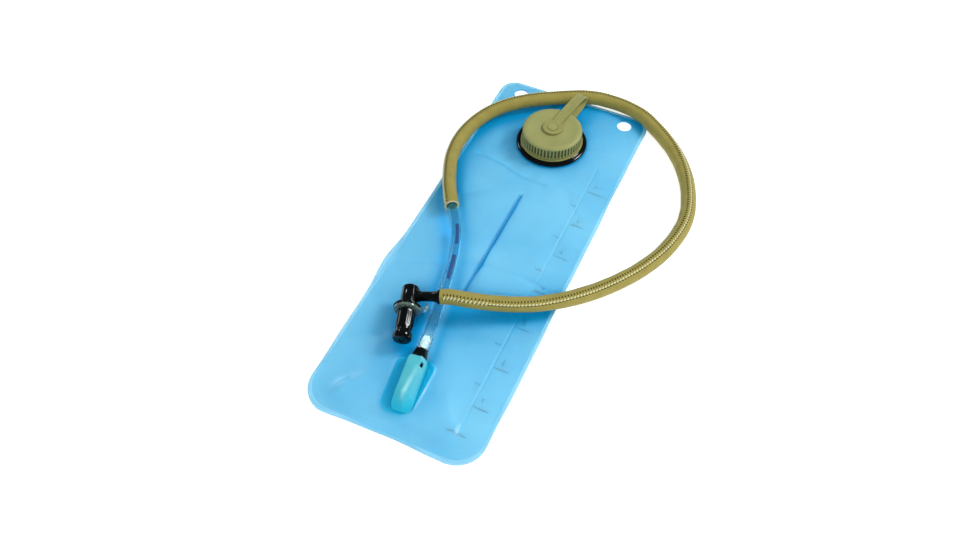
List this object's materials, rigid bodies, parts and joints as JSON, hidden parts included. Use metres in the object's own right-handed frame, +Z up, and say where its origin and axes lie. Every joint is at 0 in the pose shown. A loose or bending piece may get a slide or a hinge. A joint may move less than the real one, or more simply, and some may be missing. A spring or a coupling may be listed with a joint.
{
  "type": "hydration bladder",
  "caption": "Flat welded-film water reservoir with a tethered screw cap, quick-release outlet, sleeved drink tube and an elbow bite valve.",
  "frame": {"origin": "middle of the reservoir's footprint on the surface it lies on", "axes": "+Z up off the lying film, +Y along the reservoir's length to the filling end, +X across it"},
  "size_m": [0.2577, 0.4548, 0.0323],
  "materials": {
    "film": "translucent blue TPU film, satin",
    "port_black": "black injection-moulded plastic, glossy",
    "cap_tan": "tan moulded polypropylene, satin",
    "seal_rubber": "matt rubber",
    "tether_tan": "tan moulded flexible plastic",
    "outlet_aqua": "translucent aqua moulding, glossy",
    "plug_white": "white moulded plastic",
    "tube_clear": "clear extruded tube",
    "sleeve_cloth": "tan knit-faced neoprene with an overlocked seam",
    "ring_smoke": "smoky translucent silicone"
  },
  "bodies": {
    "reservoir": {"back_film": "film", "front_film": "film", "inner_baffle": "film", "fill_neck": "port_black", "neck_collar": "port_black", "tether_ring": "tether_tan", "tether_strap": "tether_tan", "outlet_port": "outlet_aqua", "plug_collar": "port_black", "hose_plug": "plug_white", "plug_o_ring": "seal_rubber", "drink_tube": "tube_clear", "tube_sleeve": "sleeve_cloth", "valve_elbow": "port_black", "valve_stem": "port_black"},
    "cap_carrier": {"tether_hub": "tether_tan"},
    "cap": {"cap_shell": "cap_tan", "cap_seal": "seal_rubber", "cap_stud": "cap_tan"},
    "latch": {"latch_button": "port_black"},
    "shutoff": {"shutoff_ring": "ring_smoke", "shutoff_spool": "port_black", "spool_o_ring": "seal_rubber", "mouth_o_ring": "seal_rubber"},
    "bite_mouth": {"mouthpiece": "port_black"}
  },
  "joints": [
    {"name": "cap_lift", "type": "slide", "parent": "reservoir", "child": "cap_carrier", "axis": [0, 0, 1], "range_m": [0, 0.0121], "deforming": ["tether_strap"]},
    {"name": "cap_turn", "type": "hinge", "parent": "cap_carrier", "child": "cap", "pos_m": [0, 0.145, 0.02], "axis": [0, 0, 1], "range_deg": [0, 720]},
    {"name": "latch_press", "type": "slide", "parent": "reservoir", "child": "latch", "axis": [-0.7002, -0.0984, -0.7071], "range_m": [0, 0.0008], "stiffness_N_per_m": 400, "springref_m": -0.001},
    {"name": "shutoff_turn", "type": "hinge", "parent": "reservoir", "child": "shutoff", "pos_m": [-0.0372, -0.0982, 0.0204], "axis": [0.3163, -0.9461, -0.0692], "range_deg": [0, 90]},
    {"name": "mouth_pull", "type": "slide", "parent": "shutoff", "child": "bite_mouth", "axis": [0.3163, -0.9461, -0.0692], "range_m": [0, 0.006]}
  ],
  "couplings": [
    {"joint": "cap_lift", "follows": "cap_turn", "m_per_rad": 0.00095493}
  ]
}
